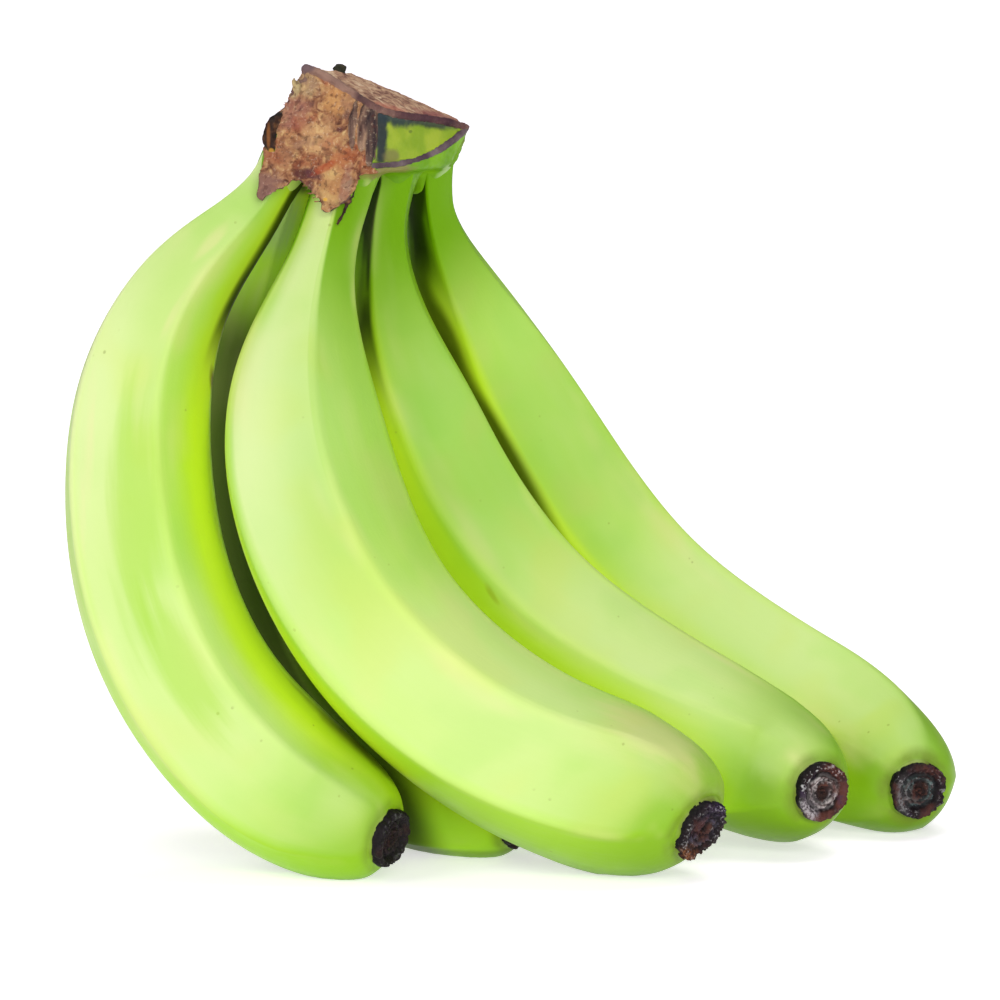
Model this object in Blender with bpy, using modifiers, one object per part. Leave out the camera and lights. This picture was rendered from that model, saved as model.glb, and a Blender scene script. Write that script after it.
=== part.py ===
"""A hand of five green bananas, cut from the bunch and stood on its blossom ends.

The crown is the block of stalk that the fruit grew from. Five fingers hang from its underside and
bend outwards to the surface, where four of them stand and the middle one is carried just clear.
Metres, +Z up. The origin is on the surface, under the middle of the hand, and -Y is the side that
the crown's main cut faces.
"""

import math

import bmesh
import bpy
import numpy as np
from mathutils import Matrix, Vector

MM = 0.001

# Section of a finger: five ridges, softened from a pentagon towards a circle, that die away
# before the blossom end.
RIDGES = 5
SIDES_PER_RIDGE = 4
RIDGE_SHARE = 0.40
RIDGE_FADE = 20 * MM
PENTAGON_MEAN = 0.87

# Length of a finger: a flare under the crown, a neck, a swell, the full body, a taper and the stub
# that the dried flower left, with a shallow dish in its end.
RINGS = 32
SAMPLES_PER_SPAN = 40
NECK_FLARE = 0.8 * MM
NECK_FLARE_LENGTH = 5 * MM
STUB_LENGTH = 3.0 * MM
STUB_DISH_RIM = 2.2 * MM
STUB_DISH_DEPTH = 1.2 * MM

# The middle of the crown's flat underside, in millimetres, and the gap between it and the necks.
CROWN_CENTRE = (-35, -7, 159)
GAP = 0.3 * MM

# Each finger's route runs from inside the crown to the blossom end. Sizes are in millimetres, the
# ridges' turn at the neck and their twist along the finger in degrees, and the swell's sharpness is
# a power: the larger it is, the more suddenly the neck widens.
FINGERS = {
    "banana_left": {
        "route": (
            (-52, -16, 163), (-56, -17, 156), (-63, -20, 147), (-77, -25, 134), (-86, -29, 114),
            (-88, -32, 92), (-85, -34, 65), (-74, -35, 40), (-56, -36, 21), (-42, -39, 14), (-29, -47, 11),
        ),
        "girth": 37.5,
        "neck": 11.5,
        "neck_length": 8,
        "swell_length": 46,
        "swell_sharpness": 1.3,
        "taper": 40,
        "stub": 15.2,
        "ridge_turn": 8,
        "twist": 20,
        "colour": (0.47, 0.68, 0.16),
    },
    "banana_front": {
        "route": (
            (-38, -17, 163), (-39, -18, 157), (-43, -22, 145), (-48, -28, 126), (-50, -33, 106), (-47, -36, 84),
            (-36, -38, 59), (-15, -38, 37), (9, -38, 23.5), (33.5, -40, 17), (42.5, -47, 11.5),
        ),
        "girth": 40,
        "neck": 14,
        "neck_length": 14,
        "swell_length": 37,
        "swell_sharpness": 2.2,
        "taper": 28,
        "stub": 17.4,
        "ridge_turn": -8,
        "twist": 54,
        "colour": (0.45, 0.67, 0.14),
    },
    "banana_middle": {
        "route": (
            (-28, -6, 163), (-29, -6, 157), (-32, -6, 145), (-31, -3, 121), (-25, -1, 100),
            (-17, 2, 79), (-2, 3, 56), (20, 3, 38), (44, 1, 24), (62, -5, 17), (71, -20, 16),
        ),
        "girth": 37.5,
        "neck": 12.5,
        "neck_length": 13,
        "swell_length": 37,
        "swell_sharpness": 2.0,
        "taper": 40,
        "stub": 15.2,
        "ridge_turn": -25,
        "twist": 70,
        "colour": (0.40, 0.66, 0.13),
    },
    "banana_right": {
        "route": (
            (-20, 2, 163), (-20, 4, 157), (-19, 11, 145), (-12, 24, 122), (-3, 33, 99),
            (11, 38.5, 74), (30, 40.5, 51), (54, 39.5, 34), (76, 33, 21), (89.5, 22, 14), (94, 7, 13),
        ),
        "girth": 39.5,
        "neck": 10.5,
        "neck_length": 12,
        "swell_length": 38,
        "swell_sharpness": 1.8,
        "taper": 40,
        "stub": 15.2,
        "ridge_turn": 0,
        "twist": 20,
        "colour": (0.36, 0.64, 0.13),
    },
    "banana_rear": {
        "route": (
            (-49, 0, 163), (-50, 1, 157), (-55, 6, 145), (-61, 13, 123), (-64, 18, 99),
            (-63, 20, 75), (-57, 19, 50), (-46, 14, 29), (-32, 5, 17), (-15, -7, 13), (2, -18, 9),
        ),
        "girth": 34,
        "neck": 13,
        "neck_length": 10,
        "swell_length": 36,
        "swell_sharpness": 1.8,
        "taper": 40,
        "stub": 15.2,
        "ridge_turn": 0,
        "twist": 10,
        "colour": (0.30, 0.50, 0.10),
    },
}
PEEL_ROUGHNESS = 0.45

# Corners of the crown, in millimetres: the flat underside that the necks grow from, the swelling above
# it, the corners of the two cut faces with the edge between them, and the rim along the back.
CROWN_CORNERS = (
    (-60, -17, 159), (-56, -24, 159), (-40, -27, 159), (-31, -23, 159), (-22, -13, 159), (-13, -2, 159),
    (-12, 6, 159), (-18, 10, 159), (-32, 11, 159), (-48, 10, 159), (-58, 4, 159),
    (-58, -23, 161), (-56, 4, 164), (-47, 13, 164), (-31, 15, 164), (-16, 13, 164),
    (-57, -16, 168), (-53, -16, 173), (-48, -16, 185), (-32, -24, 174), (-34, -26, 162),
    (-23, -12, 162), (-15, -2, 165), (-11, 3, 168), (-14, 7, 170), (-21, 9, 173), (-38, -3, 181),
)
CROWN_COLOUR = (0.20, 0.11, 0.06)
CROWN_ROUGHNESS = 0.85
WORN_EDGE = 1.0 * MM
WORN_EDGE_ANGLE = 20

# Leathery flaps that hang from the main cut over the left and the front neck. Each is a plate given by
# the corners of its front face, in millimetres: the first two lie inside the crown.
FLAP_THICKNESS = 1.6 * MM
FLAPS = {
    "left_flap": ((-57, -23, 163), (-50, -23, 163), (-52, -28, 157), (-58, -29, 152)),
    "front_flap": ((-48, -23, 166), (-36, -25, 166), (-37, -30, 155), (-43, -31, 150)),
}


def clear_scene():
    for obj in list(bpy.data.objects):
        bpy.data.objects.remove(obj, do_unlink=True)


def make_material(name, colour, roughness):
    material = bpy.data.materials.new(name)
    material.use_nodes = True
    shader = material.node_tree.nodes["Principled BSDF"]
    shader.inputs["Base Color"].default_value = (*colour, 1.0)
    shader.inputs["Roughness"].default_value = roughness
    shader.inputs["Metallic"].default_value = 0.0
    return material


def smooth_route(points):
    """Points along the cubic B-spline of a route, and the distance of each from the start, in metres."""
    route = np.array(points, float) * MM
    route = np.vstack([2 * route[0] - route[1], route, 2 * route[-1] - route[-2]])
    spans = len(route) - 3
    samples = []
    for first in range(spans):
        is_last = first == spans - 1
        for t in np.linspace(0, 1, SAMPLES_PER_SPAN, endpoint=is_last):
            weights = np.array([
                (1 - t) ** 3,
                3 * t**3 - 6 * t**2 + 4,
                -3 * t**3 + 3 * t**2 + 3 * t + 1,
                t**3,
            ])
            samples.append(weights @ route[first:first + 4] / 6)
    samples = np.array(samples)
    steps = np.linalg.norm(np.diff(samples, axis=0), axis=1)
    return samples, np.concatenate([[0], np.cumsum(steps)])


def frames_along(samples, along, distances):
    """For each distance: the route's centre, and two directions across it that don't twist.

    The first direction starts out facing -Y.
    """
    def centre_at(distance):
        return Vector(np.interp(distance, along, samples[:, axis]) for axis in range(3))

    front = Vector((0, -1, 0))
    frames = []
    for distance in distances:
        tangent = (centre_at(distance + MM) - centre_at(distance - MM)).normalized()
        front = (front - tangent * front.dot(tangent)).normalized()
        frames.append((centre_at(distance), front.copy(), front.cross(tangent)))
    return frames


def radius_at(distance, length, finger):
    """Mean radius of a finger at a distance from the start of its route, in metres."""
    neck = finger["neck"] / 2 * MM
    full = finger["girth"] / 2 * MM
    stub = finger["stub"] / 2 * MM
    past_neck = max(0.0, distance / MM - finger["neck_length"]) / finger["swell_length"]
    radius = full - (full - neck) * math.exp(-(past_neck ** finger["swell_sharpness"]))
    radius += NECK_FLARE * math.exp(-distance / NECK_FLARE_LENGTH)
    from_stub = max(0.0, length - STUB_LENGTH - distance)
    taper = min(1.0, from_stub / (finger["taper"] * MM))
    shoulder = math.sqrt(1 - (1 - taper) ** 2)
    return stub + (radius - stub) * shoulder


def ridge_factor(angle):
    """Radius of the ridged section over its mean. A ridge lies at angle 0."""
    half_side = math.pi / RIDGES
    off_middle = angle % (2 * half_side) - half_side
    pentagon = math.cos(half_side) / math.cos(off_middle)
    return 1 + RIDGE_SHARE * (pentagon / PENTAGON_MEAN - 1)


def ring_distances(length):
    """Distances of the rings along a finger. They crowd towards the stub, whose end is the last ring."""
    body_rings = RINGS - 1
    distances = []
    for ring in range(body_rings):
        part = ring / (body_rings - 1)
        distances.append(math.sin(math.pi / 2 * part) * (length - STUB_LENGTH))
    return distances + [length]


def cut_flat(bm, height, normal):
    """Cut away what lies beyond a level plane and close the cut with one flat face."""
    geometry = list(bm.verts) + list(bm.edges) + list(bm.faces)
    cut = bmesh.ops.bisect_plane(
        bm, geom=geometry, dist=1e-7, plane_co=(0, 0, height), plane_no=normal, clear_outer=True
    )
    edges = [item for item in cut["geom_cut"] if isinstance(item, bmesh.types.BMEdge)]
    if edges:
        bmesh.ops.edgeloop_fill(bm, edges=edges)


def place(obj, point, parent, collection):
    """Set an object's origin at a point of the hand and hang it from its parent."""
    obj.parent = parent
    obj.location = point - parent.location
    collection.objects.link(obj)


def make_finger(name, finger, parent, collection):
    """A straight ringed tube, bent along its route and swelled to its girth and ridges."""
    samples, along = smooth_route(finger["route"])
    length = along[-1]
    sides = RIDGES * SIDES_PER_RIDGE
    bm = bmesh.new()
    bmesh.ops.create_cone(
        bm, cap_ends=True, segments=sides, radius1=1, radius2=1, depth=1,
        matrix=Matrix.Translation((0, 0, 0.5)),
    )
    lengthwise = [edge for edge in bm.edges if abs(edge.verts[0].co.z - edge.verts[1].co.z) > 0.5]
    bmesh.ops.subdivide_edges(bm, edges=lengthwise, cuts=RINGS - 2)

    distances = ring_distances(length)
    frames = frames_along(samples, along, distances)
    turn = math.radians(finger["ridge_turn"])
    twist = math.radians(finger["twist"])
    for vert in bm.verts:
        ring = round(vert.co.z * (RINGS - 1))
        centre, front, side = frames[ring]
        around = math.atan2(vert.co.y, vert.co.x)
        angle = around + turn + twist * distances[ring] / length
        ridged = min(1.0, (length - distances[ring]) / RIDGE_FADE)
        radius = radius_at(distances[ring], length, finger)
        radius *= 1 + (ridge_factor(around) - 1) * ridged
        vert.co = centre + (front * math.cos(angle) + side * math.sin(angle)) * radius
    bmesh.ops.recalc_face_normals(bm, faces=bm.faces)

    # The dish in the stub's end.
    end = Vector(samples[-1])
    caps = [face for face in bm.faces if len(face.verts) == sides]
    stub_end = min(caps, key=lambda face: (face.calc_center_median() - end).length)
    bmesh.ops.inset_individual(bm, faces=[stub_end], thickness=STUB_DISH_RIM)
    for vert in stub_end.verts:
        vert.co -= stub_end.normal * STUB_DISH_DEPTH

    cut_flat(bm, CROWN_CENTRE[2] * MM - GAP, (0, 0, 1))
    cut_flat(bm, 0, (0, 0, -1))
    bmesh.ops.recalc_face_normals(bm, faces=bm.faces)
    root = Vector(samples[0])
    bmesh.ops.translate(bm, verts=bm.verts, vec=-root)
    mesh = bpy.data.meshes.new(name)
    bm.to_mesh(mesh)
    bm.free()
    mesh.materials.append(make_material(name.replace("banana", "peel"), finger["colour"], PEEL_ROUGHNESS))
    mesh.shade_smooth()
    place(bpy.data.objects.new(name, mesh), root, parent, collection)


def make_hull(name, corners, origin):
    """The convex solid that spans a set of corners."""
    bm = bmesh.new()
    for corner in corners:
        bm.verts.new(corner - origin)
    hull = bmesh.ops.convex_hull(bm, input=bm.verts)
    left_over = hull["geom_interior"] + hull["geom_unused"]
    inside = {item for item in left_over if isinstance(item, bmesh.types.BMVert)}
    bmesh.ops.delete(bm, geom=list(inside), context="VERTS")
    bmesh.ops.recalc_face_normals(bm, faces=bm.faces)
    mesh = bpy.data.meshes.new(name)
    bm.to_mesh(mesh)
    bm.free()
    return bpy.data.objects.new(name, mesh)


def make_crown(parent, collection, joined):
    """The crown's block with its worn edges, and the two flaps joined to it."""
    centre = parent.location
    crown = make_hull("crown", [Vector(corner) * MM for corner in CROWN_CORNERS], centre)
    crown.data.materials.append(make_material("cut_stalk", CROWN_COLOUR, CROWN_ROUGHNESS))
    place(crown, centre, parent, collection)
    worn = crown.modifiers.new("worn edges", "BEVEL")
    worn.width = WORN_EDGE
    worn.segments = 1
    worn.limit_method = "ANGLE"
    worn.angle_limit = math.radians(WORN_EDGE_ANGLE)
    for name, outline in FLAPS.items():
        front = [Vector(corner) * MM for corner in outline]
        back = [corner + Vector((0, FLAP_THICKNESS, 0)) for corner in front]
        flap = make_hull(name, front + back, front[0])
        flap.hide_render = True
        flap.display_type = "WIRE"
        place(flap, front[0], parent, joined)
        join = crown.modifiers.new("join " + name, "BOOLEAN")
        join.operation = "UNION"
        join.object = flap


def main():
    clear_scene()
    hand = bpy.data.collections.new("banana_hand")
    joined = bpy.data.collections.new("joined_shapes")
    for collection in (hand, joined):
        bpy.context.scene.collection.children.link(collection)
    holder = bpy.data.objects.new("crown_centre", None)
    holder.location = Vector(CROWN_CENTRE) * MM
    hand.objects.link(holder)
    make_crown(holder, hand, joined)
    for name, finger in FINGERS.items():
        make_finger(name, finger, holder, hand)


main()
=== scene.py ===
import math

import bmesh
import bpy
import numpy as np
from mathutils import Matrix, Vector, noise
from mathutils.bvhtree import BVHTree


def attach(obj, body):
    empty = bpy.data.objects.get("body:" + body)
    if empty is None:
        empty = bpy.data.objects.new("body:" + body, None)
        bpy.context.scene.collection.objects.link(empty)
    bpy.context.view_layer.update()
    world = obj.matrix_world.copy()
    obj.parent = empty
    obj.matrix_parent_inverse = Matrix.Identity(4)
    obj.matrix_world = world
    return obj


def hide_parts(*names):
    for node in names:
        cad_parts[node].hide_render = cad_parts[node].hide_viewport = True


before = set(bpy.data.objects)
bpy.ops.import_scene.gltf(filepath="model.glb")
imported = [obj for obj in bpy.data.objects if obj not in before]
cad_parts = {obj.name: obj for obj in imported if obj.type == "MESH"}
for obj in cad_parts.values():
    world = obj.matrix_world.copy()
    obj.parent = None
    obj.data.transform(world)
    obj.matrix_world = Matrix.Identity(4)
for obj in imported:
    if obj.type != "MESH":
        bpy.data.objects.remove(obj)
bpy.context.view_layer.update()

# Camera: a little above the hand's middle and far off, so that the fingers keep their true widths.
MM = 0.001
VIEW_TARGET = Vector((-4, -3, 82)) * MM
VIEW_DISTANCE = 1.4
VIEW_ELEVATION = math.radians(7)
VIEW_LENS = 217
SENSOR_WIDTH = 36
FARTHEST = 100


def add_to_scene(name, data):
    """An object with this data, at the origin and unturned."""
    thing = bpy.data.objects.new(name, data)
    bpy.context.scene.collection.objects.link(thing)
    return thing


def mesh_from(bm, name):
    """The shape as a mesh. The bmesh is used up."""
    mesh = bpy.data.meshes.new(name)
    bm.to_mesh(mesh)
    bm.free()
    return mesh


camera = add_to_scene("camera", bpy.data.cameras.new("camera"))
camera.data.lens = VIEW_LENS
camera.data.sensor_width = SENSOR_WIDTH
camera.data.clip_end = FARTHEST
towards_camera = Vector((0, -math.cos(VIEW_ELEVATION), math.sin(VIEW_ELEVATION)))
camera.location = VIEW_TARGET + VIEW_DISTANCE * towards_camera
camera.rotation_euler = (math.pi / 2 - VIEW_ELEVATION, 0, 0)
bpy.context.scene.camera = camera

# Studio: a white table that runs on as its own backdrop and glows faintly, more so far off. Large soft
# lights at the left, in front and above, and even white light all round.
TABLE_WIDTH = 40.0
TABLE_GLOW = (0.54, 0.92)
TABLE_GLOW_REACH = (0.25, 1.8)
TABLE_GLOW_COLOUR = (1.0, 0.97, 1.03, 1)
TABLE_TONES = ((0.89, 0.82, 0.90, 1), (0.91, 0.84, 0.92, 1))
WORLD_LIGHT = 0.20
LIGHTS = {
    "key_light": {"place": (-1.7, -1.6, 1.35), "size": 1.4, "watts": 23.5},
    "front_light": {"place": (0.55, -2.4, 1.0), "size": 1.6, "watts": 40.5},
    "top_light": {"place": (0.35, 0.25, 2.0), "size": 1.2, "watts": 18},
}


def add_node(tree, kind, inputs=None, **settings):
    """Add a shader node. Each input is set to its value, or linked if it is another node's output."""
    new = tree.nodes.new("ShaderNode" + kind)
    for name, value in settings.items():
        setattr(new, name, value)
    for name, value in (inputs or {}).items():
        socket = new.inputs[name]
        if isinstance(value, bpy.types.NodeSocket):
            tree.links.new(value, socket)
        else:
            socket.default_value = value
    return new


def linear(red, green, blue):
    """A colour as it looks on a screen, 0 to 255, as the shader takes it."""
    def level(value):
        return ((value / 255 + 0.055) / 1.055) ** 2.4 if value > 10 else value / 3295

    return level(red), level(green), level(blue), 1.0


def as_colour(value):
    """Three numbers are a colour on a screen. Anything else passes as it is."""
    return linear(*value) if isinstance(value, tuple) and len(value) == 3 else value


def blend_colour(tree, factor, first, second, mode="MIX"):
    inputs = {0: factor, 6: as_colour(first), 7: as_colour(second)}
    new = add_node(tree, "Mix", inputs, data_type="RGBA", blend_type=mode)
    return new.outputs[2]


def step(tree, value, low, high, bottom=0.0, top=1.0):
    """Goes smoothly from bottom to top as the value goes from low to high."""
    inputs = {"Value": value, "From Min": low, "From Max": high, "To Min": bottom, "To Max": top}
    return add_node(tree, "MapRange", inputs, interpolation_type="SMOOTHSTEP").outputs[0]


def start_material(name):
    material = bpy.data.materials.new(name)
    material.use_nodes = True
    return material, material.node_tree, material.node_tree.nodes["Principled BSDF"]


def make_table():
    bm = bmesh.new()
    bmesh.ops.create_grid(bm, x_segments=8, y_segments=8, size=TABLE_WIDTH / 2)
    mesh = mesh_from(bm, "table")
    material, tree, shader = start_material("white_table")
    place = add_node(tree, "TexCoord").outputs["Object"]
    cloud = add_node(tree, "TexNoise", {"Vector": place, "Scale": 3.0, "Detail": 2.0}).outputs["Fac"]
    colour = blend_colour(tree, cloud, *TABLE_TONES)
    tree.links.new(colour, shader.inputs["Base Color"])
    shader.inputs["Roughness"].default_value = 0.7
    shader.inputs["Specular IOR Level"].default_value = 0.2
    shader.inputs["Emission Color"].default_value = TABLE_GLOW_COLOUR
    distance = add_node(tree, "VectorMath", {0: place}, operation="LENGTH").outputs["Value"]
    tree.links.new(step(tree, distance, *TABLE_GLOW_REACH, *TABLE_GLOW), shader.inputs["Emission Strength"])
    mesh.materials.append(material)
    add_to_scene("table", mesh)


make_table()
for light_name, light in LIGHTS.items():
    lamp = add_to_scene(light_name, bpy.data.lights.new(light_name, "AREA"))
    lamp.data.size = light["size"]
    lamp.data.energy = light["watts"]
    lamp.location = light["place"]
    towards = VIEW_TARGET - lamp.location
    lamp.rotation_euler = towards.to_track_quat("-Z", "Y").to_euler()
sky = bpy.data.worlds.new("studio")
sky.use_nodes = True
sky.node_tree.nodes["Background"].inputs["Color"].default_value = (1, 1, 1, 1)
sky.node_tree.nodes["Background"].inputs["Strength"].default_value = WORLD_LIGHT
bpy.context.scene.world = sky
bpy.context.scene.view_settings.view_transform = "Standard"

# The five bananas: unripe fruit with a waxy green peel. Each is a ringed tube bent along its route,
# swelled from its neck to its full girth, with five ridges that were pressed by the fruit round it.
SIDES_PER_RIDGE = 20
RIDGES = 5
SIDES = RIDGES * SIDES_PER_RIDGE
RINGS = 190
RIDGE_SHARE = 0.58
RIDGE_FADE = 22 * MM
PENTAGON_MEAN = 0.87
SAMPLES_PER_SPAN = 40
NECK_FLARE = 0.8 * MM
NECK_FLARE_LENGTH = 5 * MM
STUB_LENGTH = 3.0 * MM
END_ROUNDING = 1.6 * MM
PEEL_INSET = 0.30 * MM
WAVES = 0.45 * MM
# Sizes are in millimetres and turns in degrees. The looks go from 0 to 1: how green the neck and the
# tip are, partly the peel's own green and partly painted shade, how far down the length the green and
# the painted shade in the gaps of the neck reach, and how dark the painted shade on the upper half,
# the underside and the side hidden behind the others is.
FINGERS = {
    "banana_left": {
        "route": (
            (-52, -16, 163), (-56, -17, 156), (-63, -20, 147), (-77, -25, 134), (-86, -29, 114),
            (-88, -32, 92), (-85, -34, 65), (-74, -35, 40), (-56, -36, 21), (-42, -39, 14), (-27.6, -47, 9.8),
        ),
        "girth": 37.5, "neck": 11.5, "neck_length": 8, "swell_length": 46, "swell_sharpness": 1.3,
        "taper": 40, "stub": 15.2, "ridge_turn": 8, "twist": 20, "seed": 3.1,
        "neck_green": 0.25, "neck_to": 0.34, "deep_to": 0.30, "shaded": 0.0, "tip_green": 0.7,
        "under": 0.0, "hidden": 0.0,
    },
    "banana_front": {
        "route": (
            (-38, -17, 163), (-39, -18, 157), (-43, -22, 145), (-48, -28, 126), (-50, -33, 106),
            (-47, -36, 84), (-36, -38, 59), (-15, -38, 37), (9, -38, 23.5), (33.5, -40, 17),
            (42.5, -47, 11.5),
        ),
        "girth": 40, "neck": 14, "neck_length": 14, "swell_length": 37, "swell_sharpness": 2.2,
        "taper": 28, "stub": 17.4, "ridge_turn": -8, "twist": 54, "seed": 11.7,
        "neck_green": 0.95, "neck_to": 0.34, "deep_to": 0.30, "shaded": 0.7, "tip_green": 0.75,
        "under": 0.22, "hidden": 0.0,
    },
    "banana_middle": {
        "route": (
            (-28, -6, 163), (-29, -6, 157), (-32, -6, 145), (-31, -3, 121), (-25, -1, 100),
            (-17, 2, 79), (-2, 3, 56), (20, 3, 38), (44, 1, 24), (62, -5, 17), (71, -20, 16),
        ),
        "girth": 37.5, "neck": 12.5, "neck_length": 13, "swell_length": 37, "swell_sharpness": 2.0,
        "taper": 40, "stub": 15.2, "ridge_turn": -25, "twist": 70, "seed": 23.9,
        "neck_green": 1.0, "neck_to": 0.33, "deep_to": 0.28, "shaded": 1.0, "tip_green": 1.0,
        "under": 0.35, "hidden": 0.0,
    },
    "banana_right": {
        "route": (
            (-20.5, 2, 163), (-20.8, 3.5, 157), (-20.2, 10, 145), (-12.6, 23.5, 122), (-3, 33, 99),
            (11, 38.5, 74), (30, 40.5, 51), (54, 39.5, 34), (76, 33, 21), (89.8, 21.6, 13.6),
            (95.0, 7.4, 11.6),
        ),
        "girth": 39.5, "neck": 11.4, "neck_length": 12, "swell_length": 38, "swell_sharpness": 1.8,
        "taper": 40, "stub": 15.2, "ridge_turn": 0, "twist": 20, "seed": 31.3,
        "neck_green": 1.0, "neck_to": 0.24, "deep_to": 0.16, "shaded": 0.65, "tip_green": 1.0,
        "under": 0.32, "hidden": 0.0,
    },
    "banana_rear": {
        "route": (
            (-49, 0, 163), (-50, 1, 157), (-55, 6, 145), (-61, 13, 123), (-64, 18, 99),
            (-63, 20, 75), (-57, 19, 50), (-46, 14, 29), (-32, 5, 17), (-15, -7, 13), (2, -18, 9),
        ),
        "girth": 34, "neck": 13, "neck_length": 10, "swell_length": 36, "swell_sharpness": 1.8,
        "taper": 40, "stub": 15.2, "ridge_turn": 0, "twist": 10, "seed": 47.2,
        "neck_green": 0.0, "neck_to": 0.34, "deep_to": 0.05, "shaded": 0.0, "tip_green": 0.25,
        "under": 0.0, "hidden": 0.92,
    },
}
# Light and shade are painted into the peel's colour: each point's colour follows how much light reaches it
# past the other bananas from the open sides, most of it from one side, so it is palest where it faces the
# light.
BAKE_RING_STEP = 3
BAKE_SIDE_STEP = 2
BAKE_DIRECTIONS = 260
NEIGHBOUR_LIGHT = 0.30
NEIGHBOUR_REACH = 20 * MM
CREVICE_REACH = 16 * MM
RAY_START = 0.0004
RAY_REACH = 0.25
LIGHT_FROM_BELOW = 0.03
LIGHT_FROM_ABOVE = 0.42
OPEN_SIDES = ((Vector((-0.64, -0.58, 0.50)), 1.2), (Vector((0.25, -0.88, 0.40)), 0.9))


def smooth_route(points):
    """Points along the cubic B-spline of a route, and the distance of each from the start, in metres."""
    route = np.array(points, float) * MM
    route = np.vstack([2 * route[0] - route[1], route, 2 * route[-1] - route[-2]])
    spans = len(route) - 3
    samples = []
    for first in range(spans):
        for t in np.linspace(0, 1, SAMPLES_PER_SPAN, endpoint=first == spans - 1):
            weights = np.array([
                (1 - t) ** 3,
                3 * t**3 - 6 * t**2 + 4,
                -3 * t**3 + 3 * t**2 + 3 * t + 1,
                t**3,
            ])
            samples.append(weights @ route[first:first + 4] / 6)
    samples = np.array(samples)
    steps = np.linalg.norm(np.diff(samples, axis=0), axis=1)
    return samples, np.concatenate([[0], np.cumsum(steps)])


def frames_along(samples, along, distances):
    """For each distance: the route's centre, and two directions across it that don't twist."""
    def centre_at(distance):
        return Vector(np.interp(distance, along, samples[:, axis]) for axis in range(3))

    front = Vector((0, -1, 0))
    frames = []
    for distance in distances:
        tangent = (centre_at(distance + MM) - centre_at(distance - MM)).normalized()
        front = (front - tangent * front.dot(tangent)).normalized()
        frames.append((centre_at(distance), front.copy(), front.cross(tangent)))
    return frames


def radius_at(distance, length, finger):
    """Mean radius of a finger at a distance from the start of its route, in metres."""
    neck = finger["neck"] / 2 * MM
    full = finger["girth"] / 2 * MM
    stub = finger["stub"] / 2 * MM
    past_neck = max(0.0, distance / MM - finger["neck_length"]) / finger["swell_length"]
    radius = full - (full - neck) * math.exp(-(past_neck ** finger["swell_sharpness"]))
    radius += NECK_FLARE * math.exp(-distance / NECK_FLARE_LENGTH)
    from_stub = max(0.0, length - STUB_LENGTH - distance)
    taper = min(1.0, from_stub / (finger["taper"] * MM))
    return stub + (radius - stub) * math.sqrt(1 - (1 - taper) ** 2)


def ridge_factor(angle):
    """Radius of the ridged section over its mean. A ridge lies at angle 0."""
    half_side = math.pi / RIDGES
    off_middle = angle % (2 * half_side) - half_side
    return 1 + RIDGE_SHARE * (math.cos(half_side) / math.cos(off_middle) / PENTAGON_MEAN - 1)


def shape_peel(finger):
    """A banana's points in rings, and where each lies on the straightened banana."""
    samples, along = smooth_route(finger["route"])
    length = along[-1]
    end = length - 0.5 * STUB_LENGTH
    distances = [end * math.sin(math.pi / 2 * ring / (RINGS - 1)) ** 0.9 for ring in range(RINGS)]
    turn = math.radians(finger["ridge_turn"])
    twist = math.radians(finger["twist"])
    seed = Vector((finger["seed"], 0, 0))
    half_side = math.pi / RIDGES
    points = np.empty((RINGS, SIDES, 3))
    straight = np.empty((RINGS, SIDES, 3))
    ridge = np.empty((RINGS, SIDES))
    for ring, (centre, front, side) in enumerate(frames_along(samples, along, distances)):
        distance = distances[ring]
        mean_radius = radius_at(distance, length, finger)
        ridged = min(1.0, (length - distance) / RIDGE_FADE)
        end_part = min(1.0, (end - distance) / END_ROUNDING)
        rounding = 0.80 + 0.20 * math.sqrt(1 - (1 - end_part) ** 2)
        for number in range(SIDES):
            around = 2 * math.pi * number / SIDES
            circle = Vector((math.cos(around), math.sin(around), 0))
            # The ridges wander a little, and the faces between them are never quite even.
            wander = 0.08 * noise.noise(seed + Vector((0, 0, distance * 14)) + circle * 0.8)
            angle = around + turn + twist * distance / length + wander
            radius = mean_radius * (1 + (ridge_factor(around) - 1) * ridged)
            waves = 0.5 + 0.5 * noise.noise(seed + Vector((0, 0, distance * 30)) + circle * 1.3)
            radius -= (PEEL_INSET + WAVES * waves) * min(1.0, mean_radius / (8 * MM))
            radius *= rounding
            point = centre + (front * math.cos(angle) + side * math.sin(angle)) * radius
            points[ring, number] = (point.x, point.y, max(point.z, 0.0))
            straight[ring, number] = (circle.x * radius, circle.y * radius, distance)
            ridge[ring, number] = abs(around % (2 * half_side) - half_side) / half_side
    along_part = np.repeat(np.array(distances)[:, None] / length, SIDES, axis=1)
    return {"points": points, "straight": straight, "ridge": ridge, "along": along_part}


def grid_normals(points):
    across = np.roll(points, -1, axis=1) - np.roll(points, 1, axis=1)
    lengthwise = np.gradient(points, axis=0)
    normals = np.cross(across, lengthwise)
    normals /= np.linalg.norm(normals, axis=2, keepdims=True) + 1e-12
    outward = points - points.mean(axis=1, keepdims=True)
    return normals * np.sign((normals * outward).sum(axis=2, keepdims=True))


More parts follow.
